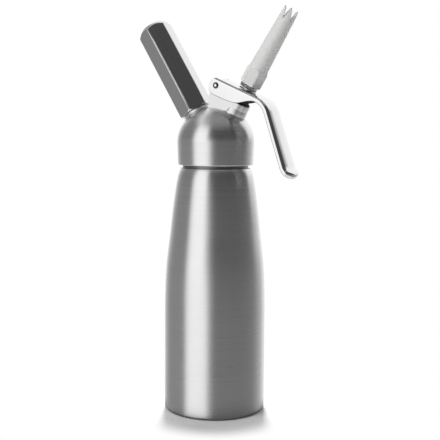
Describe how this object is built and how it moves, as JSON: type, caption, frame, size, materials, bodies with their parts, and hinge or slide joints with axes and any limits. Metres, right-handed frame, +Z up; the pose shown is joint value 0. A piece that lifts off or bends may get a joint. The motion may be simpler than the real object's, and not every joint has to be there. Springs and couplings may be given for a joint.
{
  "type": "whipped cream dispenser",
  "caption": "Lever-operated dispenser: pressurised aluminium bottle with a screw-on domed head, a gas charger holder, a sprung valve and a plastic star nozzle.",
  "frame": {"origin": "centre of the bottle's flat base, on the surface it stands on", "axes": "+Z up along the bottle's axis, the nozzle and the lever lean towards +X and the charger holder towards -X"},
  "size_m": [0.1401, 0.0804, 0.3176],
  "materials": {
    "bottle_aluminium": "satin, brushed round the axis",
    "red_rubber": "matt",
    "head_aluminium": "satin brushed dome under a polished block",
    "polished_steel": "mirror polished",
    "turned_steel": "turned",
    "black_plastic": "moulded, satin",
    "white_plastic": "moulded",
    "black_rubber": "matt",
    "brass": "turned",
    "milky_plastic": "milky, slightly see-through",
    "holder_aluminium": "satin faces, turned ends",
    "charger_steel": "drawn"
  },
  "bodies": {
    "bottle": {"bottle": "bottle_aluminium"},
    "head_seat": {"head_gasket": "red_rubber"},
    "head": {"head": "head_aluminium", "lever_pin": "polished_steel", "boss_bush": "white_plastic", "stem_o_ring": "black_rubber", "valve_spring": "turned_steel", "piercing_pin": "brass", "port_gasket": "red_rubber", "check_sleeve": "black_rubber", "check_cap": "brass"},
    "lever": {"lever": "polished_steel"},
    "valve": {"valve_stem": "turned_steel", "valve_thimble": "black_plastic", "valve_seal": "black_rubber", "valve_foot": "brass", "stem_washer": "polished_steel", "stem_nut": "turned_steel"},
    "nozzle_seat": {"nozzle_gasket": "black_rubber"},
    "nozzle": {"nozzle": "milky_plastic"},
    "charger": {"charger": "charger_steel"},
    "charger_holder": {"charger_holder": "holder_aluminium"}
  },
  "joints": [
    {"name": "head_rise", "type": "slide", "parent": "bottle", "child": "head_seat", "axis": [0, 0, 1], "range_m": [0, 0.0129]},
    {"name": "head_turn", "type": "hinge", "parent": "head_seat", "child": "head", "pos_m": [0, 0, 0.21], "axis": [0, 0, 1], "range_deg": [0, 1440]},
    {"name": "lever_pivot", "type": "hinge", "parent": "head", "child": "lever", "pos_m": [0.0057, 0, 0.2586], "axis": [0, 1, 0], "range_deg": [0, 12], "stiffness_Nm_per_rad": 1.2, "springref_deg": -14.32},
    {"name": "valve_slide", "type": "slide", "parent": "head", "child": "valve", "axis": [-0.5299, 0, -0.848], "range_m": [0, 0.004], "deforming": ["valve_spring"]},
    {"name": "nozzle_rise", "type": "slide", "parent": "valve", "child": "nozzle_seat", "axis": [0.5299, 0, 0.848], "range_m": [0, 0.0091]},
    {"name": "nozzle_turn", "type": "hinge", "parent": "nozzle_seat", "child": "nozzle", "pos_m": [0.0302, 0, 0.25934], "axis": [0.5299, 0, 0.848], "range_deg": [0, 1800]},
    {"name": "charger_rise", "type": "slide", "parent": "head", "child": "charger", "axis": [-0.5299, 0, 0.848], "range_m": [0, 0.0101]},
    {"name": "holder_turn", "type": "hinge", "parent": "charger", "child": "charger_holder", "pos_m": [-0.01908, 0, 0.24153], "axis": [-0.5299, 0, 0.848], "range_deg": [0, 1800]}
  ],
  "couplings": [
    {"joint": "head_rise", "follows": "head_turn", "m_per_rad": 0.0005093},
    {"joint": "valve_slide", "follows": "lever_pivot", "m_per_rad": 0.0187},
    {"joint": "nozzle_rise", "follows": "nozzle_turn", "m_per_rad": 0.00028648},
    {"joint": "charger_rise", "follows": "holder_turn", "m_per_rad": 0.00031831}
  ]
}
